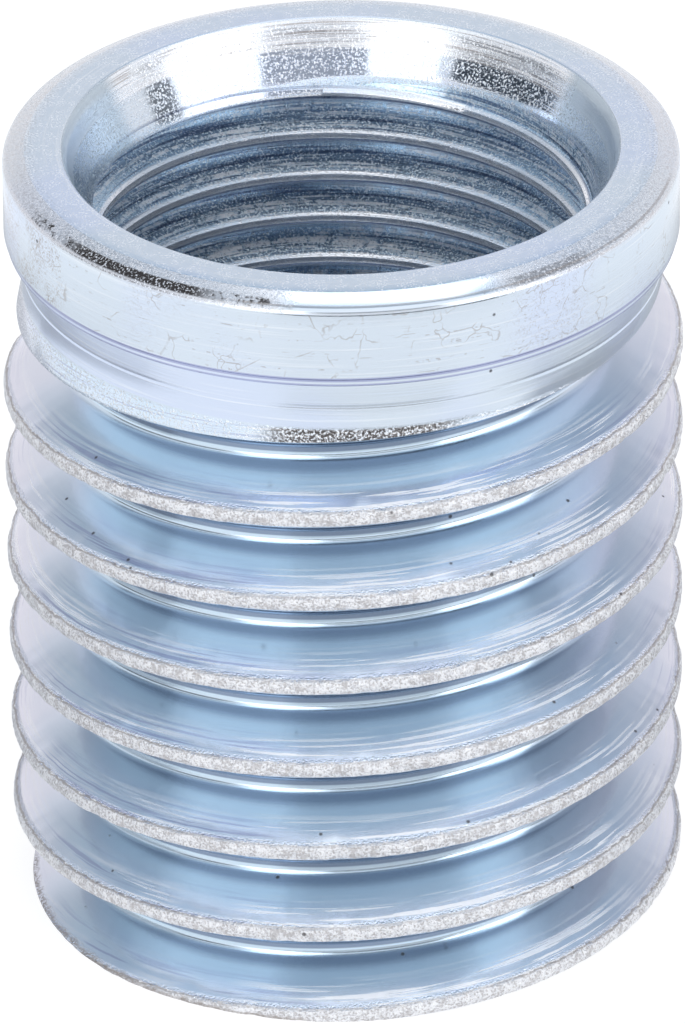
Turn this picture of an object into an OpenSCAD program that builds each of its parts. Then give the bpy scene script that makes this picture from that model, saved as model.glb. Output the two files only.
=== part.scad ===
// Threaded repair insert: one turned and threaded steel sleeve that gives a worn hole a fresh thread.
// A coarse thread runs up the outside to a plain neck and a collar; a finer thread lines the bore.
// Millimetres. +Z runs along the axis from the plain end to the collar.
// Origin: centre of the flat plain end, on the axis.
// The bore is drawn at the inner thread's crest diameter, so its wall is a plain cylinder.

/* [Body] */
// Overall length from the plain end to the collar's top face
length = 21.5; // [20.5:0.1:30]

/* [Outer thread] */
// Diameter over the crests of the outer thread
thread_diameter = 18; // [17.8:0.1:20]
// Pitch of the outer thread
thread_pitch = 2.5; // [2.3:0.1:2.7]
// Width of the flat left on each crest
crest_flat = 0.39; // [0.3:0.01:0.5]
// Depth of the groove, square to the axis
thread_depth = 1.53; // [1.2:0.01:1.53]
// Height of the first crest's upper edge at the front, where -Y faces
thread_start = 15.38; // [15:0.01:15.6]

/* [Run-out] */
// Angle round the axis, from +X, at which the groove starts to fade
fade_start = 15; // [0:5:30]
// Angle over which the groove fades to nothing
fade_sweep = 115; // [80:5:130]

/* [Shoulder] */
// Height at which the crests start to be turned down
shoulder_start = 16.2; // [16:0.1:16.3]
// Diameter just above the turned-down crests
shoulder_diameter = 17.3; // [17.2:0.1:17.4]
// Height at which the shoulder gives way to the neck
shoulder_end = 17.55; // [17.4:0.05:17.7]

/* [Neck and collar] */
// Diameter of the plain neck under the collar
neck_diameter = 16.9; // [16.5:0.1:17.1]
// Diameter of the collar
collar_diameter = 17.8; // [17.5:0.1:22]
// Height of the collar, from its underside to its top face
collar_height = 2.5; // [1.8:0.1:2.8]
// Height of the fine step turned round the collar's lower edge
lip_height = 0.22; // [0.1:0.02:0.4]
// Depth of that step
lip_step = 0.06; // [0.03:0.01:0.1]
// Width of the bevel round the collar's top face
bevel_width = 0.6; // [0.3:0.05:0.7]
// Slope of that bevel in degrees
bevel_slope = 25; // [15:1:35]
// Radius that rounds the bevel into the collar's side
bevel_round = 0.3; // [0.15:0.05:0.4]

/* [Bore] */
// Crest diameter of the inner thread, to which the bore is drawn
bore_diameter = 12.84; // [12.6:0.02:12.92]
// Diameter of the mouth at the top face
mouth_diameter = 14.64; // [14.2:0.02:15]
// Diameter at the line where the mouth's two tapers meet
taper_diameter = 14.06; // [13.4:0.02:14.1]
// Depth of that line below the top face
taper_depth = 0.75; // [0.5:0.05:1]
// Depth below the top face at which the lower taper meets the bore
mouth_depth = 1.9; // [1.5:0.05:2.5]
// Diameter of the lead-in at the plain end
lead_in_diameter = 14.0; // [13.2:0.1:14.2]

/* [Hidden] */
ZINC = [0.74, 0.80, 0.88];
$fn = 96;

crest_r = thread_diameter / 2;
shoulder_r = shoulder_diameter / 2;
neck_r = neck_diameter / 2;
collar_r = collar_diameter / 2;
bore_r = bore_diameter / 2;
mouth_r = mouth_diameter / 2;
taper_r = taper_diameter / 2;
lead_in_r = lead_in_diameter / 2;

// Outer thread: 60 degree flanks, so half the flank's width is depth times tan 30.
FLANK_SLOPE = tan(30);
root_half = (thread_pitch - crest_flat) / 2 - thread_depth * FLANK_SLOPE;
// The cutter stands clear of the crests by this much, so the cut never lies on their surface.
CLEAR = 0.12;
// Flat steps in one turn of the groove.
STEPS = 60;
// The groove passes the front (-90 degrees) this high above the first crest's upper edge.
groove_front_z = thread_start + (thread_pitch - crest_flat) / 2;
fade_end = fade_start + fade_sweep;
// Turns below the front, enough for the groove to leave through the plain end.
turns_down = ceil(groove_front_z / thread_pitch) + 0.5;
first_step = -round(turns_down * STEPS);
last_step = round((fade_end + 90) / 360 * STEPS);

// Collar
underside_z = length - collar_height;
flat_r = collar_r - bevel_width;
// The round is tangent to the bevel and to the collar's side.
round_centre_r = collar_r - bevel_round;
round_centre_z = length - bevel_round / cos(bevel_slope)
    - (round_centre_r - flat_r) * tan(bevel_slope);
ROUND_STEPS = 4;

// Taper from the neck out to the shoulder's foot; both ends are its true radii.
SHOULDER_FOOT_RISE = 0.35;
SHOULDER_TOP_STEP = 0.01;
LEAD_IN_SLOPE = 45;

// Half profile of the sleeve before the groove is cut, radius across and height up.
function sleeve_profile() = concat(
    [
        [lead_in_r, 0],
        [crest_r, 0],
        [crest_r, shoulder_start],
        [shoulder_r, shoulder_start + SHOULDER_FOOT_RISE],
        [neck_r + SHOULDER_TOP_STEP, shoulder_end],
        [neck_r, shoulder_end],
        [neck_r, underside_z],
        [collar_r - lip_step, underside_z],
        [collar_r - lip_step, underside_z + lip_height],
        [collar_r, underside_z + lip_height]
    ],
    [for (k = [0:ROUND_STEPS])
        let (a = k / ROUND_STEPS * (90 - bevel_slope))
        [round_centre_r + bevel_round * cos(a), round_centre_z + bevel_round * sin(a)]],
    [
        [flat_r, length],
        [mouth_r, length],
        [taper_r, length - taper_depth],
        [bore_r, length - mouth_depth],
        [bore_r, (lead_in_r - bore_r) * tan(LEAD_IN_SLOPE)]
    ]
);

// Depth left in the groove at a given angle: full up to fade_start, nothing at fade_end.
function groove_depth(a) =
    let (t = min(1, max(0, (a - fade_start) / fade_sweep)))
    thread_depth * (1 - t) - 0.5 * CLEAR * t;

// Four corners of the cutter at one step: its root below and above, then its mouth above and below.
function cutter_section(i) =
    let (a = -90 + i * 360 / STEPS,
         z = groove_front_z + thread_pitch * i / STEPS,
         root_r = crest_r - groove_depth(a),
         open_r = crest_r + CLEAR,
         open_half = root_half + (open_r - root_r) * FLANK_SLOPE)
    [for (p = [[root_r, -root_half], [root_r, root_half], [open_r, open_half], [open_r, -open_half]])
        [p[0] * cos(a), p[0] * sin(a), z + p[1]]];

// The outer thread's groove as one solid cutter that climbs right-handed.
module groove_cutter() {
    n = last_step - first_step;
    points = [for (i = [first_step:last_step], p = cutter_section(i)) p];
    sides = [for (s = [0:n - 1], k = [0:3], half = [0, 1])
        let (a = 4 * s + k, b = 4 * s + (k + 1) % 4)
        half == 0 ? [a, a + 4, b + 4] : [a, b + 4, b]];
    start = [[0, 1, 2], [0, 2, 3]];
    end = [for (f = start) [4 * n + f[2], 4 * n + f[1], 4 * n + f[0]]];
    polyhedron(points, concat(sides, start, end), convexity = 20);
}

// The whole sleeve: turned profile with the outer thread cut into it.
module insert_sleeve() {
    color(ZINC)
    difference() {
        rotate_extrude() polygon(sleeve_profile());
        groove_cutter();
    }
}

insert_sleeve();
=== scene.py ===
"""Looks of the threaded repair insert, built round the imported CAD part.

One turned and threaded steel sleeve, plated with bright zinc. The solid carries the outer thread;
here the whole skin is made again with the inner thread, the torn crests and the tool marks.
Lengths inside the node trees are millimetres; the mesh leaves them in metres.
"""

import logging
import math
from dataclasses import dataclass, field
from enum import Enum
from typing import Any, Callable, List, Mapping, Optional, Sequence, Tuple, Union

import bpy
from mathutils import Matrix, Vector


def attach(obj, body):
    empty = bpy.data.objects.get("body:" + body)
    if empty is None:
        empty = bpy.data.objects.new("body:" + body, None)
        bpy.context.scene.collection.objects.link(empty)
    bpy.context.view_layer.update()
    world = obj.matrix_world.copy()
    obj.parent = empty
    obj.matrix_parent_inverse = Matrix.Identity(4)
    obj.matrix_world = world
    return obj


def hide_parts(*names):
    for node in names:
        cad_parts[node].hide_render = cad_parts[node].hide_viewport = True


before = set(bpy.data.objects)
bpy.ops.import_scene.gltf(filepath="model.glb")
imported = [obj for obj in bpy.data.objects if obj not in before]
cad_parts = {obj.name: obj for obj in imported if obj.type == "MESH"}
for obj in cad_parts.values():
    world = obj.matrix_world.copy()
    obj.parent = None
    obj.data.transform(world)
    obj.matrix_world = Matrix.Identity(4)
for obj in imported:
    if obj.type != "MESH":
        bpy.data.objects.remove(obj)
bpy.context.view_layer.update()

logging.basicConfig(level=logging.INFO, format="%(message)s")
LOG = logging.getLogger("insert")

MM = 0.001
NODE = "insert_sleeve"

Rgb = Tuple[float, float, float]
Point = Tuple[float, float]
Number = Union["Value", float, int]


class Side(Enum):
    """Which way a thread's groove is cut from its crests."""

    OUTSIDE = "cut inwards from the outside"
    BORE = "cut outwards from the bore"


class Value:
    """A float socket of a node tree; arithmetic on it adds Math nodes."""

    def __init__(self, graph: "Graph", socket: bpy.types.NodeSocket) -> None:
        """Wraps one socket.

        Args:
            graph: The tree that the socket belongs to.
            socket: An output socket of a node in that tree.
        """
        self.graph = graph
        self.socket = socket

    def __add__(self, other: Number) -> "Value":
        """Sum."""
        return self.graph.math("ADD", self, other)

    def __sub__(self, other: Number) -> "Value":
        """Difference."""
        return self.graph.math("SUBTRACT", self, other)

    def __rsub__(self, other: Number) -> "Value":
        """Difference, the other way round."""
        return self.graph.math("SUBTRACT", other, self)

    def __mul__(self, other: Number) -> "Value":
        """Product."""
        return self.graph.math("MULTIPLY", self, other)

    def __truediv__(self, other: Number) -> "Value":
        """Quotient."""
        return self.graph.math("DIVIDE", self, other)

    def __rtruediv__(self, other: Number) -> "Value":
        """Quotient, the other way round."""
        return self.graph.math("DIVIDE", other, self)

    def __pow__(self, other: Number) -> "Value":
        """Power."""
        return self.graph.math("POWER", self, other)

    def __gt__(self, other: Number) -> "Value":
        """1 where the value is greater."""
        return self.graph.math("GREATER_THAN", self, other)

    def __lt__(self, other: Number) -> "Value":
        """1 where the value is less."""
        return self.graph.math("LESS_THAN", self, other)

    __radd__ = __add__
    __rmul__ = __mul__

    def function(self, operation: str) -> "Value":
        """A function of the value alone, such as SINE or FLOOR."""
        return self.graph.math(operation, self)

    def least(self, other: Number) -> "Value":
        """The smaller of two values."""
        return self.graph.math("MINIMUM", self, other)

    def most(self, other: Number) -> "Value":
        """The larger of two values."""
        return self.graph.math("MAXIMUM", self, other)

    def eased_least(self, other: Number, reach: float) -> "Value":
        """The smaller of two values, rounded where they lie within reach of each other."""
        return self.graph.math("SMOOTH_MIN", self, other, reach)

    def eased_most(self, other: Number, reach: float) -> "Value":
        """The larger of two values, rounded where they lie within reach of each other."""
        return self.graph.math("SMOOTH_MAX", self, other, reach)

    def within(self, low: Number, high: Number) -> "Value":
        """The value held between two limits."""
        return self.most(low).least(high)

    def ramp(self, low: Number, high: Number, smooth: bool = False) -> "Value":
        """Rises from 0 at one value to 1 at another.

        Args:
            low: Where the ramp is 0.
            high: Where the ramp is 1; it may be the smaller one.
            smooth: Whether the ends are eased.

        Returns:
            The ramp, held between 0 and 1.
        """
        shape = "SMOOTHSTEP" if smooth else "LINEAR"
        sockets = {"Value": self, "From Min": low, "From Max": high}
        return self.graph.value("ShaderNodeMapRange", {"interpolation_type": shape}, sockets)

    def band(self, low: float, high: float, soft: float) -> "Value":
        """1 between two values, with soft edges outside them."""
        reach = (high - low) * 0.5
        return (self - (low + reach)).function("ABSOLUTE").ramp(reach + soft, reach, True)

    def toward(self, other: Number, share: Number) -> "Value":
        """This value at share 0, the other at 1."""
        return self.graph.value("ShaderNodeMix", {"data_type": "FLOAT"}, {0: share, 2: self, 3: other})


class Graph:
    """One node tree, shader or geometry, with a single way to add nodes to it."""

    def __init__(self, tree: bpy.types.NodeTree) -> None:
        """Takes a tree and empties it."""
        self.tree = tree
        tree.nodes.clear()

    def add(
        self,
        kind: str,
        settings: Optional[Mapping[str, Any]] = None,
        inputs: Optional[Mapping[Union[str, int], Any]] = None,
    ) -> bpy.types.Node:
        """Adds a node.

        Args:
            kind: The node's type.
            settings: The node's own properties, set first.
            inputs: Socket name or number, and what feeds it: a value, a socket or a plain value.

        Returns:
            The new node.
        """
        node = self.tree.nodes.new(kind)
        for name, setting in (settings or {}).items():
            setattr(node, name, setting)
        for key, source in (inputs or {}).items():
            self.feed(node.inputs[key], source)
        return node

    def feed(self, socket: bpy.types.NodeSocket, source: Any) -> None:
        """Links a value or socket to a socket, or sets it."""
        if isinstance(source, Value):
            self.tree.links.new(source.socket, socket)
        elif isinstance(source, bpy.types.NodeSocket):
            self.tree.links.new(source, socket)
        elif isinstance(source, tuple) and len(source) == 3 and socket.type == "RGBA":
            socket.default_value = (*source, 1.0)
        else:
            socket.default_value = source

    def value(
        self,
        kind: str,
        settings: Optional[Mapping[str, Any]] = None,
        inputs: Optional[Mapping[Union[str, int], Any]] = None,
        output: Union[str, int] = 0,
    ) -> Value:
        """Adds a node and wraps one of its outputs; the arguments are those of add()."""
        return Value(self, self.add(kind, settings, inputs).outputs[output])

    def math(self, operation: str, *terms: Number) -> Value:
        """Adds a Math node."""
        return self.value("ShaderNodeMath", {"operation": operation}, dict(enumerate(terms)))

    def vector(self, x: Number, y: Number, z: Number) -> bpy.types.NodeSocket:
        """Joins three values to a vector."""
        return self.add("ShaderNodeCombineXYZ", None, {"X": x, "Y": y, "Z": z}).outputs[0]

    def split(self, vector: Any) -> Tuple[Value, Value, Value]:
        """Splits a vector into its three values."""
        node = self.add("ShaderNodeSeparateXYZ", None, {0: vector})
        return Value(self, node.outputs[0]), Value(self, node.outputs[1]), Value(self, node.outputs[2])

    def scaled(self, vector: Any, factor: float) -> bpy.types.NodeSocket:
        """A vector times a plain number."""
        inputs = {0: vector, "Scale": factor}
        return self.add("ShaderNodeVectorMath", {"operation": "SCALE"}, inputs).outputs[0]

    def noise(
        self,
        vector: Any,
        scale: float,
        detail: float = 2.0,
        rough: float = 0.5,
        across: Optional[Number] = None,
    ) -> Value:
        """Soft noise between 0 and 1.

        Args:
            vector: Where the noise is read.
            scale: Grains to a unit of length.
            detail: Octaves.
            rough: Weight of the finer octaves.
            across: A fourth coordinate, or nothing for plain noise in space.

        Returns:
            The noise.
        """
        settings = {"noise_dimensions": "3D" if across is None else "4D"}
        inputs = {"Vector": vector, "Scale": scale, "Detail": detail, "Roughness": rough}
        if across is not None:
            inputs["W"] = across
        return self.value("ShaderNodeTexNoise", settings, inputs)

    def cells(self, vector: Any, scale: float, feature: str, output: Union[str, int] = 0) -> Value:
        """Scattered cells: distance to their middles or edges, or a number for each.

        Args:
            vector: Where the cells are read.
            scale: Cells to a unit of length.
            feature: F1, or DISTANCE_TO_EDGE.
            output: Distance, or Color for the cell's own number.

        Returns:
            The value.
        """
        return self.value("ShaderNodeTexVoronoi", {"feature": feature}, {"Vector": vector, "Scale": scale}, output)

    def blend(self, factor: Number, first: Any, second: Any) -> bpy.types.NodeSocket:
        """Mixes two colours: the first at 0, the second at 1."""
        settings = {"data_type": "RGBA", "clamp_factor": True}
        return self.add("ShaderNodeMix", settings, {0: factor, 6: first, 7: second}).outputs[2]


@dataclass(frozen=True)
class Thread:
    """A right-hand thread round the axis, with 60 degree flanks. Sizes in millimetres."""

    side: Side
    pitch: float
    crest_radius: float
    root_radius: float
    root_half: float
    root_round: float
    crest_round: float
    front_height: float
    run_out: Tuple[Point, ...]
    root_rows: int
    flank_rows: int
    edge_rows: int
    crest_rows: int
    low: float
    high: float
    ridge: Optional[float] = None

    @property
    def slope(self) -> float:
        """Height gained along a flank for each millimetre of depth."""
        return math.tan(math.radians(30.0))

    @property
    def crest_edge(self) -> float:
        """Distance from the groove's middle to the crest's edge."""
        return abs(self.crest_radius - self.root_radius) * self.slope + self.root_half

    @property
    def edge_reach(self) -> float:
        """Height over which the crest's edge is rounded, on each side of it."""
        return min(self.crest_round * self.slope, self.pitch / 2 - self.crest_edge)

    @property
    def half_rows(self) -> int:
        """Rows from the groove's middle to the crest's middle."""
        return self.root_rows + self.flank_rows + self.edge_rows + self.crest_rows

    @property
    def first_turn(self) -> int:
        """The lowest turn of rows, which lies wholly below the thread's low end."""
        return math.floor((self.low - self.front_height) / self.pitch)

    @property
    def turns(self) -> int:
        """Turns of rows from the low end past the high end."""
        last = math.ceil((self.high - self.front_height) / self.pitch)
        return last - self.first_turn + 1

    @property
    def rows(self) -> int:
        """Rows of vertices that carry the thread."""
        return self.turns * 2 * self.half_rows + 1

    def centre(self, turn: Number) -> Number:
        """Height of the groove's middle, turn turns past the front."""
        return self.front_height + turn * self.pitch

    def root(self, turn: Value) -> Value:
        """Radius of the groove's root, which follows the run-out at its upper end."""
        radius = turn * 0.0 + self.root_radius
        for here, there in zip(self.run_out, self.run_out[1:]):
            radius = radius + turn.ramp(here[0], there[0]) * (there[1] - here[1])
        return radius

    def reach(self, root: Value, wall: Value) -> Value:
        """Half the groove's width at the wall that it is cut in."""
        if self.side is Side.OUTSIDE:
            return (wall - root).most(0.0) * self.slope + self.root_half
        return (self.root_radius - wall).most(0.0) * self.slope + self.root_half

    def foot(self, root: Value) -> Value:
        """Distance from the groove's middle at which its straight flank starts."""
        if self.side is Side.OUTSIDE:
            return root * 0.0 + self.root_round
        return (self.root_radius - root) * self.slope + self.root_round

    def radius(self, turn: Value, height: Value, wall: Value) -> Value:
        """Radius of the threaded surface.

        Args:
            turn: Turns round the axis from the front.
            height: Height above the plain end.
            wall: Radius of the surface that the groove is cut in, at that height.

        Returns:
            The radius.
        """
        nearest = ((height - self.centre(turn)) / self.pitch).function("ROUND")
        root = self.root(turn + nearest)
        away = (height - self.centre(turn + nearest)).function("ABSOLUTE")
        flat = 2.0 * self.root_half - self.root_round
        hollow = self.root_round - flat
        past = (away - flat).most(0.0)
        curve = past.least(hollow) ** 2.0 * (0.5 / (self.slope * hollow))
        climb = curve + (past - hollow).most(0.0) / self.slope
        if self.side is Side.OUTSIDE:
            return wall.eased_least(root + climb, self.crest_round)
        cut = wall.eased_most(root.least(self.root_radius - climb), self.crest_round)
        return wall.toward(cut, height.ramp(self.high, self.high - 0.06))




@dataclass
class Sleeve:
    """The whole sleeve as one closed skin: both threads, shoulder, neck, collar and mouth."""

    length: float = 21.5
    columns: int = 300
    crest_radius: float = 9.0
    shoulder_start: float = 16.2
    shoulder_radius: float = 8.65
    shoulder_slope: float = 0.19
    neck_radius: float = 8.45
    neck_line: float = 18.19
    collar_radius: float = 8.9
    collar_height: float = 2.5
    lip_step: float = 0.06
    lip_height: float = 0.22
    bevel_width: float = 0.6
    bevel_slope: float = 25.0
    bevel_round: float = 0.22
    bore_radius: float = 6.427
    mouth_radius: float = 7.32
    taper_radius: float = 7.03
    taper_depth: float = 0.75
    mouth_depth: float = 1.9
    lead_in_radius: float = 7.0
    outer: Thread = field(
        default_factory=lambda: Thread(
            side=Side.OUTSIDE,
            pitch=2.5,
            crest_radius=9.0,
            root_radius=7.47,
            root_half=0.20,
            root_round=0.29,
            crest_round=0.16,
            front_height=16.405,
            run_out=((105.0 / 360.0, 7.47), (220.0 / 360.0, 9.0)),
            root_rows=5,
            flank_rows=2,
            edge_rows=2,
            crest_rows=1,
            low=0.0,
            high=18.0,
            ridge=17.55,
        )
    )
    inner: Thread = field(
        default_factory=lambda: Thread(
            side=Side.BORE,
            pitch=1.25,
            crest_radius=6.427,
            root_radius=7.2,
            root_half=0.07,
            root_round=0.14,
            crest_round=0.19,
            front_height=19.607,
            run_out=((0.0, 7.2), (0.22, 6.74), (0.45, 6.60), (0.8, 6.52), (0.97, 6.427)),
            root_rows=1,
            flank_rows=1,
            edge_rows=2,
            crest_rows=0,
            low=0.0,
            high=20.3,
        )
    )

    @property
    def underside(self) -> float:
        """Height of the collar's underside."""
        return self.length - self.collar_height

    @property
    def bevel_inner(self) -> float:
        """Radius at which the bevel meets the top face."""
        return self.collar_radius - self.bevel_width

    def outer_wall(self, height: Value) -> Value:
        """Radius of the turned outside before the thread is cut, from the end to the neck."""
        foot = self.shoulder_start + (self.crest_radius - self.shoulder_radius)
        cone = self.crest_radius - (height - self.shoulder_start)
        turned = self.shoulder_radius - (height - foot) * self.shoulder_slope
        return cone.most(turned).within(self.neck_radius, self.crest_radius)

    def inner_wall(self, height: Value) -> Value:
        """Radius of the bore before the thread is cut, with its mouth and lead-in."""
        foot = self.length - self.mouth_depth
        rise = self.mouth_depth - self.taper_depth
        taper = self.bore_radius + (height - foot) * ((self.taper_radius - self.bore_radius) / rise)
        lead_in = self.lead_in_radius - height
        return taper.most(lead_in).most(self.bore_radius)

    def rings(self) -> List[Point]:
        """Points of the turned profile above the outer thread, round to the mouth.

        Returns:
            Radius and height of each ring of vertices.
        """
        neck, collar, top = self.neck_radius, self.collar_radius, self.length
        under, flat = self.underside, self.bevel_inner
        lip = collar - self.lip_step
        slope = math.radians(self.bevel_slope)
        turn_r = collar - self.bevel_round
        turn_z = top - self.bevel_round / math.cos(slope) - (turn_r - flat) * math.tan(slope)
        arc = [
            (turn_r + self.bevel_round * math.cos(a), turn_z + self.bevel_round * math.sin(a))
            for a in (k / 4 * (math.pi / 2 - slope) for k in range(5))
        ]
        steep = (self.mouth_radius - self.taper_radius) / self.taper_depth
        lower = (self.taper_radius - self.bore_radius) / (self.mouth_depth - self.taper_depth)
        high = self.inner.high
        line = self.neck_line
        return [
            (neck, line - 0.08), (neck, line - 0.05), (neck - 0.008, line - 0.02),
            (neck - 0.008, line + 0.02), (neck, line + 0.05), (neck, line + 0.08), (neck, 18.6), (neck, under - 0.08), (neck, under - 0.04), (neck + 0.04, under),
            (lip - 0.04, under), (lip, under + 0.04), (lip, under + self.lip_height - 0.03),
            (lip + 0.03, under + self.lip_height), (collar, under + self.lip_height + 0.03),
            (collar, under + 0.8), (collar, under + 1.4),
            *arc,
            (flat + 0.25, top - 0.25 * math.tan(slope)), (flat + 0.03, top - 0.012),
            (flat - 0.03, top), (8.0, top), (7.65, top), (self.mouth_radius + 0.05, top),
            (self.mouth_radius, top - 0.04),
            (self.taper_radius + steep * 0.35, top - self.taper_depth + 0.35),
            (self.taper_radius, top - self.taper_depth),
            (self.taper_radius - lower * (top - self.taper_depth - high), high),
        ]

    def build(self, finish: bpy.types.Material) -> bpy.types.Object:
        """Makes the sleeve's mesh.

        Args:
            finish: The material that the tree sets.

        Returns:
            A plain mesh object in metres, with its place in its mesh.
        """
        tree = bpy.data.node_groups.new("turned_sleeve", "GeometryNodeTree")
        face = tree.interface
        columns = face.new_socket("Columns", in_out="INPUT", socket_type="NodeSocketInt")
        wear = face.new_socket("Crest Wear", in_out="INPUT", socket_type="NodeSocketFloat")
        sharp = face.new_socket("Sharp Angle", in_out="INPUT", socket_type="NodeSocketFloat")
        coat = face.new_socket("Finish", in_out="INPUT", socket_type="NodeSocketMaterial")
        face.new_socket("Skin", in_out="OUTPUT", socket_type="NodeSocketGeometry")
        graph = Graph(tree)
        given = graph.add("NodeGroupInput")
        wanted = {name: Value(graph, given.outputs[name]) for name in ("Columns", "Crest Wear", "Sharp Angle")}

        rings = self.rings()
        rows = self.inner.rows + self.outer.rows + len(rings)
        line = wanted["Columns"] + 1.0
        grid = graph.add("GeometryNodeMeshGrid", None, {"Vertices X": rows, "Vertices Y": line})
        index = graph.value("GeometryNodeInputIndex")
        row = (index / line).function("FLOOR")
        turn = (index - row * line) / wanted["Columns"] - 0.5

        bore_row = (self.inner.rows - 1.0) - row
        bore_height = self.thread_height(self.inner, bore_row, turn, self.inner_wall)
        bore_radius = self.inner.radius(turn, bore_height, self.inner_wall(bore_height))
        out_row = row - float(self.inner.rows)
        out_height = self.thread_height(self.outer, out_row, turn, self.outer_wall)
        out_radius = self.outer.radius(turn, out_height, self.outer_wall(out_height))
        ring_row = row - float(self.inner.rows + self.outer.rows)
        ring_radius, ring_height = self.profile(ring_row, rings)

        in_bore = row < self.inner.rows - 0.5
        on_ring = row > self.inner.rows + self.outer.rows - 0.5
        outside = 1.0 - in_bore - on_ring
        radius = bore_radius * in_bore + out_radius * outside + ring_radius * on_ring
        height = bore_height * in_bore + out_height * outside + ring_height * on_ring
        radius, height = self.worn(graph, turn, radius, height, wanted["Crest Wear"])

        angle = turn * math.tau - math.pi / 2
        place = graph.vector(
            radius * angle.function("COSINE"), radius * angle.function("SINE"), height
        )
        shaped = graph.add(
            "GeometryNodeSetPosition",
            None,
            {"Geometry": grid.outputs["Mesh"], "Position": graph.scaled(place, MM)},
        )
        closed = graph.add(
            "GeometryNodeMergeByDistance", None, {"Geometry": shaped.outputs[0], "Distance": 1.5e-6}
        )
        smooth = graph.add("GeometryNodeSetShadeSmooth", None, {"Geometry": closed.outputs[0]})
        bend = graph.value("GeometryNodeInputMeshEdgeAngle")
        crisp = graph.add(
            "GeometryNodeSetShadeSmooth",
            {"domain": "EDGE"},
            {"Geometry": smooth.outputs[0], "Selection": bend > wanted["Sharp Angle"], "Shade Smooth": False},
        )
        outward = graph.add("GeometryNodeFlipFaces", None, {"Mesh": crisp.outputs[0]})
        real = graph.add("GeometryNodeRealizeInstances", None, {"Geometry": outward.outputs[0]})
        coated = graph.add(
            "GeometryNodeSetMaterial",
            None,
            {"Geometry": real.outputs[0], "Material": given.outputs["Finish"]},
        )
        graph.add("NodeGroupOutput", None, {0: coated.outputs[0]})

        seed = bpy.data.objects.new("seed", bpy.data.meshes.new("seed"))
        bpy.context.scene.collection.objects.link(seed)
        modifier = seed.modifiers.new("skin", "NODES")
        modifier.node_group = tree
        modifier[columns.identifier] = self.columns
        modifier[wear.identifier] = 1.0
        modifier[sharp.identifier] = math.radians(35.0)
        modifier[coat.identifier] = finish
        return plain_mesh(seed, "zinc_sleeve")

    @staticmethod
    def thread_height(
        thread: Thread, row: Value, turn: Value, wall: Callable[[Value], Value]
    ) -> Value:
        """Height of a thread's row of vertices, which rides on its root, flank, edge or crest.

        A crest's middle row that comes near the wall's ridge is moved onto the ridge.

        Args:
            thread: The thread.
            row: Row number, counted up from the lowest turn.
            turn: Turns round the axis from the front.
            wall: Gives the radius of the uncut surface at a height.

        Returns:
            The height, held between the thread's ends.
        """
        half = float(thread.half_rows)
        block = (row / (2.0 * half)).function("FLOOR")
        local = row - block * (2.0 * half) - half
        way = (local > -0.5) * 2.0 - 1.0
        step = local.function("ABSOLUTE")
        total = turn + block + float(thread.first_turn)
        centre = thread.centre(total)
        root = thread.root(total)
        edge = turn * 0.0 + thread.crest_edge
        for _ in range(5):
            height = (centre + way * edge).within(thread.low, thread.high)
            edge = thread.reach(root, wall(height))
        near = (edge - thread.edge_reach).most(0.0)
        far = (edge + thread.edge_reach).least(thread.pitch / 2)
        foot = thread.foot(root).least(near)
        root_end = float(thread.root_rows)
        flank_end = root_end + thread.flank_rows
        edge_end = flank_end + thread.edge_rows
        away = (
            step.ramp(0.0, root_end) * foot
            + step.ramp(root_end, flank_end) * (near - foot)
            + step.ramp(flank_end, edge_end) * (far - near)
        )
        if thread.crest_rows:
            away = away + step.ramp(edge_end, half) * (thread.pitch / 2 - far)
        height = centre + way * away
        if thread.ridge is not None:
            middle = (step > half - 0.5) * height.band(thread.ridge - 0.65, thread.ridge + 0.28, 0.08)
            height = height.toward(thread.ridge, middle)
        return height.within(thread.low, thread.high)

    @staticmethod
    def profile(row: Value, points: Sequence[Point]) -> Tuple[Value, Value]:
        """Radius and height of a ring of the turned profile, picked by its row.

        Args:
            row: Row number, counted from the first ring.
            points: Radius and height of every ring.

        Returns:
            The radius and the height.
        """
        radius = row * 0.0 + points[0][0]
        height = row * 0.0 + points[0][1]
        for number, (here, there) in enumerate(zip(points, points[1:])):
            passed = row > number + 0.5
            radius = radius + passed * (there[0] - here[0])
            height = height + passed * (there[1] - here[1])
        return radius, height

    def worn(
        self, graph: Graph, turn: Value, radius: Value, height: Value, wear: Value
    ) -> Tuple[Value, Value]:
        """Tears the outer crests and waves their edges a little.

        Args:
            graph: The tree.
            turn: Turns round the axis from the front.
            radius: Radius before wear.
            height: Height before wear.
            wear: How much of it to apply.

        Returns:
            The worn radius and height.
        """
        angle = turn * math.tau
        place = graph.vector(radius * angle.function("COSINE"), radius * angle.function("SINE"), height)
        crest = radius.ramp(8.7, 8.98) * height.ramp(18.3, 18.0)
        torn = (graph.noise(place, 3.2, 2.0, 0.6) - 0.5).most(0.0) * 0.16
        chipped = (graph.noise(place, 1.1, 1.0) - 0.6).most(0.0) * 0.35
        wave = (graph.noise(place, 2.4, 2.0) - 0.5) * 0.06 * height.ramp(0.0, 0.4)
        radius = radius - (torn + chipped) * crest * wear
        height = height + wave * radius.ramp(8.3, 8.95) * height.ramp(16.6, 16.0) * wear
        return radius, height


def plain_mesh(source: bpy.types.Object, name: str) -> bpy.types.Object:
    """Turns what an object's modifiers give into a plain mesh object and removes the source.

    Args:
        source: The object with its modifiers.
        name: The new object's name.

    Returns:
        The new object, linked to the scene.
    """
    graph = bpy.context.evaluated_depsgraph_get()
    mesh = bpy.data.meshes.new_from_object(source.evaluated_get(graph), depsgraph=graph)
    mesh.name = name
    source.modifiers.clear()
    bpy.data.objects.remove(source)
    piece = bpy.data.objects.new(name, mesh)
    bpy.context.scene.collection.objects.link(piece)
    return piece


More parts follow.
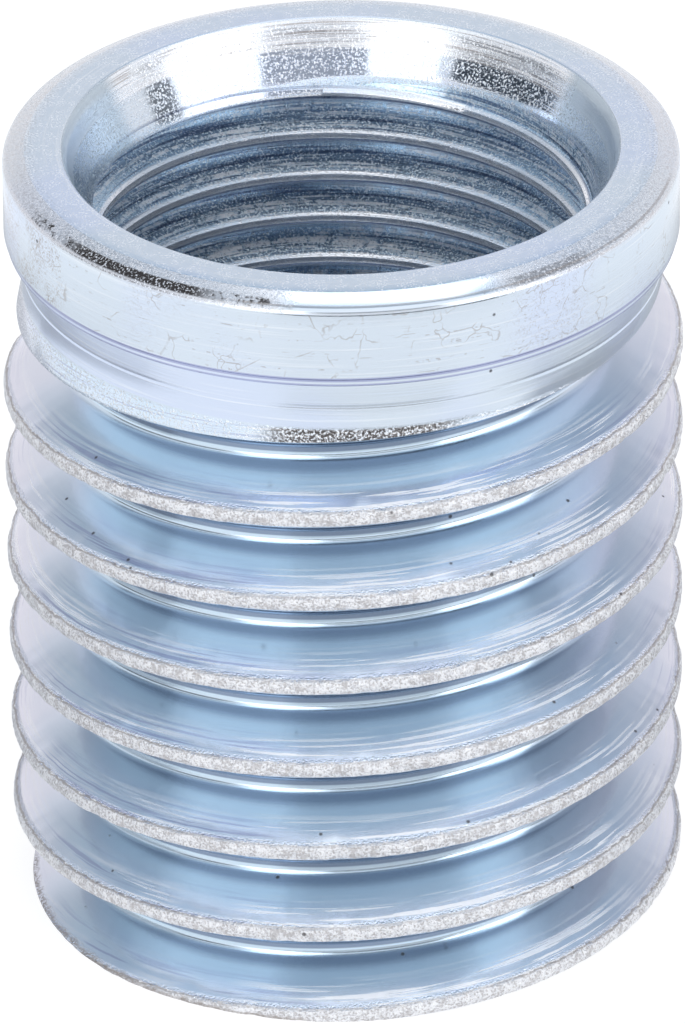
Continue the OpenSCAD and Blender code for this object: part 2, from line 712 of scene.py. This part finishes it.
class Spot:
    """Where a point of the skin lies on the sleeve, in millimetres, and the noises read there."""

    def __init__(self, graph: Graph, sleeve: Sleeve) -> None:
        """Reads Object coordinates.

        Args:
            graph: The material's tree.
            sleeve: The sleeve that the point lies on.
        """
        self.graph = graph
        self.sleeve = sleeve
        self.place = graph.scaled(graph.add("ShaderNodeTexCoord").outputs["Object"], 1.0 / MM)
        self.x, self.y, self.z = graph.split(self.place)
        self.radius = (self.x * self.x + self.y * self.y).function("SQRT")
        self.degrees = graph.math("ARCTAN2", self.x, self.y * -1.0) * math.degrees(1.0)
        self.turn = graph.math("ARCTAN2", self.y, self.x) / math.tau + 0.25
        self.outer = self.along(sleeve.outer)
        self.inner = self.along(sleeve.inner)
        inside = self.radius.ramp(7.36, 7.33)
        foot = sleeve.length - sleeve.mouth_depth
        above = (self.radius - sleeve.inner_wall(self.z)).ramp(0.05, 0.02) * self.z.ramp(foot, foot + 0.08)
        self.mouth = inside * above.most(self.z.ramp(20.3, 20.34))
        self.bore = inside * (1.0 - self.mouth)
        self.thread = (1.0 - inside) * self.z.ramp(17.6, 17.5)
        self.plain = 1.0 - self.bore.most(self.thread)
        across = self.thread * self.outer * 20.0 + self.bore * self.inner * 18.0
        across = across + self.plain * (self.z + self.radius * 0.8) * 15.0
        self.marks = graph.noise(self.place, 0.25, 2.0, 0.6, across=across * 4.0)
        self.grain = graph.noise(self.place, 16.0, 2.0, 0.6)
        self.dots = self.grain.ramp(0.53, 0.72)
        self.ragged = graph.noise(self.place, 3.5, 3.0, 0.7)
        self.patches = graph.noise(self.place, 0.9, 3.0, 0.6)
        self.drift = graph.noise(self.place, 0.25, 1.0)

    def along(self, thread: Thread) -> Value:
        """Height above the middle of the nearest groove, square to the axis."""
        groove = (self.z - thread.front_height) / thread.pitch - self.turn
        return (groove - groove.function("ROUND")) * thread.pitch

    def facing(self, low: float, high: float, soft: float) -> Value:
        """1 between two angles round the axis, in degrees from the front; the right is positive."""
        return self.degrees.band(low, high, soft)


@dataclass(frozen=True)
class Coat:
    """The plating at a point: its colour, roughness and share of metal shine."""

    graph: Graph
    colour: Any
    rough: Value
    metal: Value

    def under(
        self,
        mask: Value,
        colour: Any = None,
        rough: Optional[Number] = None,
        metal: Optional[Number] = None,
    ) -> "Coat":
        """Lays another look over this one.

        Args:
            mask: 1 where the new look shows.
            colour: Its colour, or nothing to keep the present one.
            rough: Its roughness, or nothing.
            metal: Its share of metal shine, or nothing.

        Returns:
            The two looks together.
        """
        return Coat(
            self.graph,
            self.colour if colour is None else self.graph.blend(mask, self.colour, colour),
            self.rough if rough is None else self.rough.toward(rough, mask),
            self.metal if metal is None else self.metal.toward(metal, mask),
        )


@dataclass(frozen=True)
class ZincFinish:
    """Bright blue zinc plating on turned steel."""

    pale: Rgb = (0.66, 0.74, 0.83)
    lavender: Rgb = (0.64, 0.72, 0.89)
    # Rose: painted reflection tint on the outer flanks toward both sides.
    rose: Rgb = (0.66, 0.64, 0.74)
    # Flank toward the root and edge toward the crest: their blend is painted shade.
    flank: Rgb = (0.60, 0.73, 0.85)
    edge: Rgb = (0.76, 0.83, 0.94)
    white: Rgb = (0.90, 0.93, 0.97)
    frost: Rgb = (0.76, 0.77, 0.81)
    chalk: Rgb = (0.96, 0.97, 1.0)
    # Slate: bore base, a little darker than the plating as painted shade.
    slate: Rgb = (0.54, 0.70, 0.84)
    # Steel: the darker colour painted at the mouth's sides as dark reflection.
    steel: Rgb = (0.46, 0.55, 0.63)
    # Navy: painted shade in the outer root and in the bore, and dark specks and marks in the bore.
    navy: Rgb = (0.09, 0.13, 0.24)
    # Black of the pits, and of the painted dark reflections on the shoulder and bevel.
    pit_and_reflection_black: Rgb = (0.05, 0.045, 0.045)
    umber: Rgb = (0.34, 0.30, 0.28)
    violet: Rgb = (0.36, 0.39, 0.60)
    shine: float = 0.18

    def material(self, sleeve: Sleeve) -> bpy.types.Material:
        """Makes the material.

        Args:
            sleeve: The sleeve whose marks it draws.

        Returns:
            The material.
        """
        made = bpy.data.materials.new("zinc_plate")
        made.use_nodes = True
        graph = Graph(made.node_tree)
        spot = Spot(graph, sleeve)
        coat = self.plating(spot)
        for layer in (self.flanks, self.shoulder, self.crests, self.collar, self.bevel,
                      self.mouth, self.bore, self.pits):
            coat = layer(spot, coat)
        bump = graph.add(
            "ShaderNodeBump", None, {"Strength": 1.0, "Distance": MM, "Height": self.relief(spot)}
        )
        shader = graph.add(
            "ShaderNodeBsdfPrincipled",
            None,
            {
                "Base Color": coat.colour,
                "Metallic": coat.metal.within(0.0, 1.0),
                "Roughness": coat.rough.within(0.05, 1.0),
                "Normal": bump.outputs[0],
            },
        )
        graph.add("ShaderNodeOutputMaterial", None, {0: shader.outputs[0]})
        return made

    def plating(self, spot: Spot) -> Coat:
        """Plain plating with turned rings and a slow drift of tint, under everything else."""
        graph = spot.graph
        left = spot.facing(-90.0, -20.0, 25.0) * spot.z.band(17.6, 19.2, 0.05)
        tint = spot.drift.ramp(0.45, 0.70, True).most(left) * 0.8
        colour = graph.blend(tint, self.pale, self.lavender)
        colour = graph.blend(spot.marks.ramp(0.55, 0.75) * spot.plain * 0.5, colour, self.white)
        colour = graph.blend(spot.marks.ramp(0.40, 0.25) * spot.plain * 0.3, colour, self.lavender)
        one = spot.drift * 0.0 + 1.0
        return Coat(graph, colour, one * self.shine, one)

    def relief(self, spot: Spot) -> Value:
        """Height of the tool marks, the torn crests and the rough cones, in millimetres."""
        cone = spot.thread * spot.z.ramp(16.5, 16.54) * spot.radius.ramp(8.4, 8.46)
        crest = spot.thread * spot.z.ramp(16.7, 16.55) * spot.radius.ramp(8.78, 8.84)
        worn = spot.z.ramp(21.05, 21.12) * spot.radius.band(8.34, 8.86, 0.05)
        worn = worn * (1.0 - spot.facing(-7.0, 24.0, 6.0))
        turned = 0.0012 + spot.mouth * 0.0030 + spot.bore * 0.0035
        tilt = (spot.z - spot.sleeve.outer.ridge) * -0.06
        rough = spot.dots * (cone * 0.010 + worn * 0.012 + spot.mouth * 0.004 + spot.bore * 0.004)
        return (spot.marks - 0.5) * turned + rough + (spot.grain - 0.5) * crest * 0.06 + cone * tilt

    def flanks(self, spot: Spot, coat: Coat) -> Coat:
        """The outer thread's flanks, with painted shade toward and in the root, a painted rose reflection toward
        both sides, and cutting streaks partly painted as glints and dark reflections.
        """
        graph = spot.graph
        depth = spot.radius + (spot.patches - 0.5) * 0.5
        # Painted shade: the flank colour darkens from the crest toward the root.
        tone = graph.blend(depth.ramp(8.1, 9.0, True), self.flank, self.edge)
        # Painted reflection: a rose tint on the flanks at both sides, away from the front.
        tone = graph.blend(spot.degrees.ramp(30.0, 75.0) * 0.6, tone, self.rose)
        tone = graph.blend(spot.degrees.ramp(-58.0, -80.0) * 0.6, tone, self.rose)
        coat = coat.under(spot.thread, tone)
        # Painted shade: a navy band along the upper side of the root, under the crest above.
        root = spot.outer.band(-0.01, 0.5, 0.04) * spot.radius.ramp(8.0, 7.8) * spot.thread
        coat = coat.under(root * 0.68, self.navy)
        near = spot.radius.ramp(7.9, 8.7, True) * spot.thread
        # Cutting streaks: painted glints in white from the front round to the right, painted dark reflections in
        # violet on the left, and plain tool marks where the drift noise allows.
        right = spot.facing(-12.0, 50.0, 12.0) * 0.9
        left = spot.facing(-62.0, -18.0, 10.0) * 0.8
        bright = spot.marks.ramp(0.53, 0.58) * near * right.most(spot.drift.ramp(0.45, 0.65) * 0.6)
        dark = spot.marks.ramp(0.47, 0.39) * near * left.most(spot.drift.ramp(0.55, 0.35) * 0.5)
        coat = coat.under(bright * 0.95, self.chalk, rough=0.35, metal=0.35)
        return coat.under(dark * 0.75, self.violet)

    def shoulder(self, spot: Spot, coat: Coat) -> Coat:
        """The rough cone between the thread and the neck, with a painted dark reflection speckled over its front.
        """
        cone = spot.thread * spot.z.band(16.5, 17.52, 0.04) * spot.radius.ramp(8.4, 8.46)
        coat = coat.under(cone, rough=0.14)
        coat = coat.under(cone * spot.grain.ramp(0.54, 0.62) * 0.6, self.chalk, rough=0.45, metal=0.3)
        # Painted dark reflection: brown and black specks over the front of the cone.
        front_dark_reflection = cone * spot.facing(-9.0, 15.0, 8.0)
        coat = coat.under(front_dark_reflection * spot.grain.ramp(0.58, 0.51) * 0.8, self.umber, rough=0.4)
        return coat.under(front_dark_reflection * spot.grain.ramp(0.50, 0.45) * 0.8, self.pit_and_reflection_black, rough=0.4)

    def crests(self, spot: Spot, coat: Coat) -> Coat:
        """Torn, frosted crests with a thin dark line along their upper edge."""
        edge = spot.sleeve.outer.crest_edge
        thread = spot.thread * spot.z.ramp(16.7, 16.55)
        shift = (spot.ragged - 0.5) * 0.12 + (spot.grain - 0.5) * 0.06
        crest = (spot.outer.function("ABSOLUTE") + shift).ramp(edge - 0.06, edge - 0.02)
        crest = crest * spot.radius.ramp(8.76, 8.82) * thread
        coat = coat.under(crest, self.frost, rough=0.34, metal=0.6)
        bright = spot.grain.ramp(0.52, 0.57).most(spot.ragged.ramp(0.53, 0.58))
        coat = coat.under(crest * bright * 0.85, self.chalk, metal=0.35)
        specks = spot.grain.ramp(0.45, 0.41).most(spot.ragged.ramp(0.44, 0.41) * 0.7)
        coat = coat.under(crest * specks * 0.5, self.umber)
        foot = (spot.z + shift * 1.5).ramp(0.11, 0.05) * spot.facing(-85.0, -12.0, 8.0) * spot.radius.ramp(7.6, 7.7)
        coat = coat.under(foot * spot.grain.ramp(0.42, 0.50) * 0.85, self.umber, rough=0.5, metal=0.5)
        line = (spot.outer + shift).band(-edge + 0.030, -edge + 0.045, 0.018)
        front = spot.facing(-18.0, 18.0, 20.0)
        line = line * spot.radius.ramp(8.72, 8.78) * thread * (1.0 - front * 0.5)
        return coat.under(line * 0.7, self.umber, rough=0.5)

    def collar(self, spot: Spot, coat: Coat) -> Coat:
        """The collar's side with its crackle and ticks, and the lines of its lip."""
        graph = spot.graph
        under, top = spot.sleeve.underside, spot.sleeve.length
        outside = spot.radius.ramp(8.6, 8.7)
        side = outside * spot.z.band(under + 0.3, top - 0.4, 0.04)
        bend = graph.vector(spot.patches * 1.2, spot.patches * -1.2, spot.patches * 0.8)
        moved = graph.add("ShaderNodeVectorMath", {"operation": "ADD"}, {0: spot.place, 1: bend})
        cracks = graph.cells(moved.outputs[0], 1.1, "DISTANCE_TO_EDGE").ramp(0.024, 0.008)
        where = spot.patches.ramp(0.49, 0.57)
        coat = coat.under(side * cracks * where * 0.45, self.umber)
        ticks = spot.marks.ramp(0.42, 0.36) * spot.ragged.ramp(0.55, 0.60)
        ticks = ticks.most((spot.ragged - 0.5).function("ABSOLUTE").ramp(0.012, 0.005) * spot.drift.ramp(0.5, 0.6))
        coat = coat.under(side * ticks * 0.5, self.umber)
        dull = side * spot.facing(-88.0, -58.0, 6.0) * spot.patches.ramp(0.44, 0.54)
        coat = coat.under(dull * spot.grain.ramp(0.50, 0.42) * 0.5, self.umber)
        step = spot.z.band(under + 0.15, under + 0.27, 0.02).most(spot.z.band(under - 0.02, under + 0.07, 0.02))
        coat = coat.under(outside * step * 0.8, self.violet)
        face = spot.z.ramp(21.40, 21.44) * spot.radius.band(7.40, 8.30, 0.04)
        frosted = face * spot.grain.ramp(0.50, 0.60) * spot.ragged.ramp(0.40, 0.55)
        coat = coat.under(frosted * 0.6, self.chalk, rough=0.4, metal=0.5)
        rim = face * spot.radius.ramp(7.95, 8.25) * spot.degrees.function("ABSOLUTE").ramp(35.0, 80.0)
        return coat.under(rim * spot.grain.ramp(0.47, 0.40) * 0.35, self.umber)

    def bevel(self, spot: Spot, coat: Coat) -> Coat:
        """The worn bevel round the top face, with painted dark reflections in patches on its rounded edge."""
        high = spot.z.ramp(21.05, 21.12)
        strip = spot.radius.band(8.34, 8.86, 0.05) * high * (1.0 - spot.facing(-7.0, 24.0, 6.0))
        coat = coat.under(strip * 0.7, self.frost, rough=0.3, metal=0.6)
        coat = coat.under(strip * spot.grain.ramp(0.48, 0.40) * 0.35, self.umber)
        core = spot.radius.band(8.60, 8.81, 0.05) * high
        # Painted dark reflections: black patches on the bevel's rounded edge at a few angles round from the front.
        black = spot.facing(-50.0, -27.0, 8.0).most(spot.facing(32.0, 44.0, 4.0) * 0.5)
        black = black.most(spot.facing(-62.0, -14.0, 8.0) * spot.ragged.ramp(0.50, 0.62))
        coat = coat.under(core * black * spot.grain.ramp(0.62, 0.55), self.pit_and_reflection_black, rough=0.5)
        line = spot.radius.band(8.74, 8.78, 0.02) * high * spot.facing(-16.0, 75.0, 6.0)
        return coat.under(line * 0.5, self.umber)

    def mouth(self, spot: Spot, coat: Coat) -> Coat:
        """The two rough tapers of the mouth, painted darker at both sides as dark reflection."""
        upper = spot.mouth * spot.z.ramp(20.71, 20.77)
        specks = spot.grain.ramp(0.56, 0.62) * spot.mouth
        coat = coat.under(spot.mouth, rough=0.10)
        coat = coat.under(specks * 0.65, self.chalk, rough=0.5, metal=0.2)
        coat = coat.under(upper * 0.7, self.white, rough=0.27, metal=0.8)
        lines = upper * spot.marks.ramp(0.46, 0.40) * spot.patches.ramp(0.40, 0.55)
        coat = coat.under(lines * 0.6, self.umber)
        coat = coat.under(upper * spot.marks.ramp(0.54, 0.60), self.chalk, metal=0.4)
        # Painted dark reflection: the mouth is darker and a little rougher at both sides.
        sides = spot.degrees.function("ABSOLUTE").band(80.0, 120.0, 6.0) * spot.mouth
        return coat.under(sides * 0.9, self.steel, rough=0.28)

    def bore(self, spot: Spot, coat: Coat) -> Coat:
        """The inner thread: a darker base and navy bands in its hollows and under each crest are painted shade, and
        its crests are burnished metal with a painted highlight.
        """
        edge = spot.sleeve.inner.crest_edge
        # Painted shade: the bore's slate base is darker than the plating outside.
        coat = coat.under(spot.bore, self.slate, rough=0.27)
        light = spot.marks.ramp(0.52, 0.58) * spot.ragged.ramp(0.40, 0.52)
        coat = coat.under(spot.bore * light * 0.7, self.chalk, rough=0.35, metal=0.4)
        coat = coat.under(spot.bore * spot.grain.ramp(0.57, 0.62) * 0.6, self.chalk, rough=0.4, metal=0.4)
        coat = coat.under(spot.bore * spot.grain.ramp(0.42, 0.38) * 0.5, self.navy)
        coat = coat.under(spot.bore * spot.marks.ramp(0.44, 0.37) * 0.8, self.navy)
        crest = spot.inner.ramp(-edge + 0.16, -edge + 0.11).most(spot.inner.ramp(edge + 0.05, edge + 0.08))
        # Painted shade: navy in the hollow of the groove and in a band just under each crest.
        hollow = spot.inner.band(0.05, edge - 0.12, 0.06) * spot.bore
        coat = coat.under(hollow * 0.4, self.navy)
        below = spot.inner.band(edge - 0.12, edge + 0.05, 0.03) * spot.bore
        coat = coat.under(below * 0.85, self.navy)
        # Crests: burnished metal, painted near-white as a highlight.
        crest = crest * spot.radius.ramp(6.58, 6.52) * spot.bore
        coat = coat.under(crest * 0.95, self.chalk, rough=0.12, metal=0.9)
        # Painted shadow: a navy line just above the top edge of the first crest, in the mouth.
        rim = spot.inner.band(-edge + 0.05, -edge + 0.10, 0.02) * spot.mouth * spot.radius.ramp(6.66, 6.60)
        return coat.under(rim * 0.7, self.navy)

    def pits(self, spot: Spot, coat: Coat) -> Coat:
        """Small black pits scattered over the plating."""
        hole = spot.graph.cells(spot.place, 0.9, "F1").ramp(0.060, 0.035)
        hole = hole * spot.radius.ramp(7.42, 7.46) * spot.z.ramp(21.3, 21.2)
        return coat.under(hole * 0.8, self.pit_and_reflection_black, rough=0.6)


@dataclass
class Studio:
    """Pale floor, soft white surroundings with dark gaps between the windows, and the camera."""

    focal: float = 454.6
    distance: float = 344.27
    elevation: float = 29.007
    roll: float = 0.601
    aim: Vector = field(default_factory=lambda: Vector((0.0, 0.0, 11.0)))
    shift_right: float = 0.052
    shift_up: float = 0.501
    floor_reach: float = 3.0
    windows: Tuple[Point, ...] = ((-42.0, -14.0), (37.0, 73.0))
    horizon: Rgb = (1.0, 0.97, 0.97)
    ceiling: Rgb = (0.51, 0.61, 0.73)
    lamp: Rgb = (2.5, 2.5, 2.5)
    skylight: Rgb = (1.15, 1.17, 1.2)
    gap: Rgb = (0.04, 0.05, 0.065)
    grey: Rgb = (0.62, 0.62, 0.62)
    shade: Rgb = (0.70, 0.70, 0.70)

    def camera(self) -> bpy.types.Object:
        """Makes the camera and gives it to the scene."""
        pitch, roll = math.radians(self.elevation), math.radians(self.roll)
        level = Vector((1.0, 0.0, 0.0))
        upright = Vector((0.0, math.sin(pitch), math.cos(pitch)))
        back = Vector((0.0, -math.cos(pitch), math.sin(pitch)))
        right = level * math.cos(roll) - upright * math.sin(roll)
        up = level * math.sin(roll) + upright * math.cos(roll)
        spot = self.aim + back * self.distance - right * self.shift_right - up * self.shift_up
        camera = bpy.data.objects.new("camera", bpy.data.cameras.new("camera"))
        camera.data.lens = self.focal
        camera.data.sensor_width = 36.0
        turned = Matrix((right, up, back)).transposed().to_4x4()
        camera.matrix_world = Matrix.Translation(spot * MM) @ turned
        bpy.context.scene.collection.objects.link(camera)
        bpy.context.scene.camera = camera
        return camera

    @staticmethod
    def stage(name: str, corners: List[Vector], faces: List[Sequence[int]], look: bpy.types.Material) -> bpy.types.Object:
        """Adds a mesh of the studio.

        Args:
            name: The object's name.
            corners: Its vertices.
            faces: Its faces.
            look: Its material.

        Returns:
            The object.
        """
        mesh = bpy.data.meshes.new(name)
        mesh.from_pydata(corners, [], faces)
        mesh.materials.append(look)
        made = bpy.data.objects.new(name, mesh)
        bpy.context.scene.collection.objects.link(made)
        return made

    def floor(self) -> bpy.types.Object:
        """Makes the pale floor, which keeps the sleeve's shadow."""
        made = bpy.data.materials.new("pale_floor")
        made.use_nodes = True
        graph = Graph(made.node_tree)
        path = graph.add("ShaderNodeLightPath")
        seen = Value(graph, path.outputs["Is Camera Ray"])
        for name in ("Is Glossy Ray", "Is Transmission Ray"):
            seen = seen.most(Value(graph, path.outputs[name]))
        plain = graph.add("ShaderNodeBsdfDiffuse", None, {"Color": (0.8, 0.8, 0.8)})
        dim = graph.add("ShaderNodeBsdfDiffuse", None, {"Color": (0.3, 0.3, 0.3)})
        white = graph.add("ShaderNodeEmission", None, {"Color": (1.0, 1.0, 1.0), "Strength": 0.8})
        lit = graph.add("ShaderNodeAddShader", None, {0: dim.outputs[0], 1: white.outputs[0]})
        both = graph.add("ShaderNodeMixShader", None, {0: seen, 1: plain.outputs[0], 2: lit.outputs[0]})
        graph.add("ShaderNodeOutputMaterial", None, {0: both.outputs[0]})
        reach = self.floor_reach
        corners = [Vector((x * reach, y * reach, 0.0)) for x, y in ((-1, -1), (1, -1), (1, 1), (-1, 1))]
        return self.stage("floor", corners, [(0, 1, 2, 3)], made)

    @staticmethod
    def matt(name: str, tone: Rgb) -> bpy.types.Material:
        """Makes a plain matt material."""
        made = bpy.data.materials.new(name)
        made.use_nodes = True
        graph = Graph(made.node_tree)
        plain = graph.add("ShaderNodeBsdfDiffuse", None, {"Color": tone})
        graph.add("ShaderNodeOutputMaterial", None, {0: plain.outputs[0]})
        return made

    def veil(self, name: str) -> bpy.types.Material:
        """Makes the grey of the floor that the two windows leave in half shadow, with soft edges."""
        made = bpy.data.materials.new(name)
        made.use_nodes = True
        graph = Graph(made.node_tree)
        place = graph.scaled(graph.add("ShaderNodeTexCoord").outputs["Object"], 1.0 / MM)
        x, y, _ = graph.split(place)
        azimuth = graph.math("ARCTAN2", x, y * -1.0) * math.degrees(1.0)
        left = azimuth.ramp(-78.0, -50.0) * azimuth.ramp(-12.0, -22.0)
        right = azimuth.ramp(29.0, 38.0) * azimuth.ramp(66.0, 48.0)
        ahead = 1.0 - azimuth.band(-12.0, 29.0, 8.0) * 0.30
        share = (1.0 - left.most(right)) * ahead * (x * x + y * y).function("SQRT").ramp(35.0, 33.0)
        grey = graph.add("ShaderNodeBsdfDiffuse", None, {"Color": self.grey})
        clear = graph.add("ShaderNodeBsdfTransparent")
        both = graph.add("ShaderNodeMixShader", None, {0: share, 1: clear.outputs[0], 2: grey.outputs[0]})
        graph.add("ShaderNodeOutputMaterial", None, {0: both.outputs[0]})
        return made

    def card(self, sector: Point, rims: Sequence[Point], look: bpy.types.Material) -> bpy.types.Object:
        """Makes a curved card round the sleeve that only reflections see.

        Args:
            sector: Its two ends, in degrees round the axis from the front.
            rims: Distance from the axis and height of its two rims, in metres.
            look: Its material, whose name it takes.

        Returns:
            The card.
        """
        first, last = (math.radians(angle) for angle in sector)
        steps = 48
        corners: List[Vector] = []
        for step in range(steps + 1):
            angle = first + (last - first) * step / steps
            outward = Vector((math.sin(angle), -math.cos(angle), 0.0))
            corners += [outward * reach + Vector((0.0, 0.0, height)) for reach, height in rims]
        faces = [(at, at + 2, at + 3, at + 1) for at in range(0, 2 * steps, 2)]
        card = self.stage(look.name, corners, faces, look)
        card.visible_camera = False
        card.visible_diffuse = False
        card.visible_shadow = False
        return card

    def cards(self) -> None:
        """Sets a dark card in front, grey ones at both sides, and a grey veil on the floor."""
        self.card((-20.0, 50.0), ((0.055, 0.0075), (0.055, 0.0155)), self.matt("dark_card", self.gap))
        for sector in ((-115.0, -61.0), (60.0, 115.0)):
            self.card(sector, ((0.022, 0.0), (0.022, 0.0102)), self.matt("side_card", self.shade))
        self.card((-180.0, 180.0), ((0.0105, 0.0003), (0.035, 0.0036)), self.veil("floor_veil"))

    def sky(self) -> None:
        """Sets the surroundings: white walls, dark gaps, a bluish ceiling with a soft bright ring."""
        made = bpy.data.worlds.new("studio")
        bpy.context.scene.world = made
        made.use_nodes = True
        graph = Graph(made.node_tree)
        x, y, z = graph.split(graph.add("ShaderNodeTexCoord").outputs["Generated"])
        height = z.within(-1.0, 1.0).function("ARCSINE") * math.degrees(1.0)
        azimuth = graph.math("ARCTAN2", x, y * -1.0) * math.degrees(1.0)
        colour = graph.blend(height.ramp(16.0, 47.0), self.horizon, self.ceiling)
        behind = x.band(-0.12, 0.26, 0.05) * y.band(0.16, 0.42, 0.04) * z.ramp(0.7, 0.75)
        colour = graph.blend(behind, colour, self.lamp)
        overhead = y.band(-0.80, -0.15, 0.08) * z.ramp(0.5, 0.6)
        colour = graph.blend(overhead, colour, self.skylight)
        for first, last in self.windows:
            window = azimuth.band(first, last, 2.0) * height.ramp(42.0, 34.0, True)
            colour = graph.blend(window, colour, self.lamp)
        middle = (azimuth * 0.27 + 34.0).within(6.0, 24.0)
        left = azimuth.band(-102.0, -51.0, 2.0) * (height - middle).band(-3.0, 6.0, 4.0)
        right = azimuth.band(77.0, 89.0, 2.0) * height.band(10.0, 18.0, 2.0) * 0.85
        ahead = azimuth.band(-12.0, 35.0, 2.0) * height.band(19.0, 31.0, 3.0) * 0.55
        aside = azimuth.band(-150.0, -118.0, 8.0).most(azimuth.band(118.0, 134.0, 8.0) * 0.75)
        aside = aside * height.band(28.0, 55.0, 8.0) * 0.30
        colour = graph.blend(left.most(right).most(ahead).most(aside), colour, self.gap)
        path = graph.add("ShaderNodeLightPath")
        seen = Value(graph, path.outputs["Is Camera Ray"])
        colour = graph.blend(seen, colour, (1.0, 1.0, 1.0))
        light = graph.add("ShaderNodeBackground", None, {"Color": colour, "Strength": 1.0})
        graph.add("ShaderNodeOutputWorld", None, {0: light.outputs[0]})

    def build(self) -> None:
        """Sets up the studio."""
        self.camera()
        self.floor()
        self.cards()
        self.sky()
        bpy.context.scene.view_settings.view_transform = "Standard"


def main() -> None:
    """Builds the sleeve and the studio, and reports them."""
    Studio().build()
    sleeve = Sleeve()
    piece = sleeve.build(ZincFinish().material(sleeve))
    LOG.info("%s: %d vertices, %d faces", piece.name, len(piece.data.vertices), len(piece.data.polygons))
    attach(piece, "root")
    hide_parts(NODE)


if __name__ == "__main__":
    main()
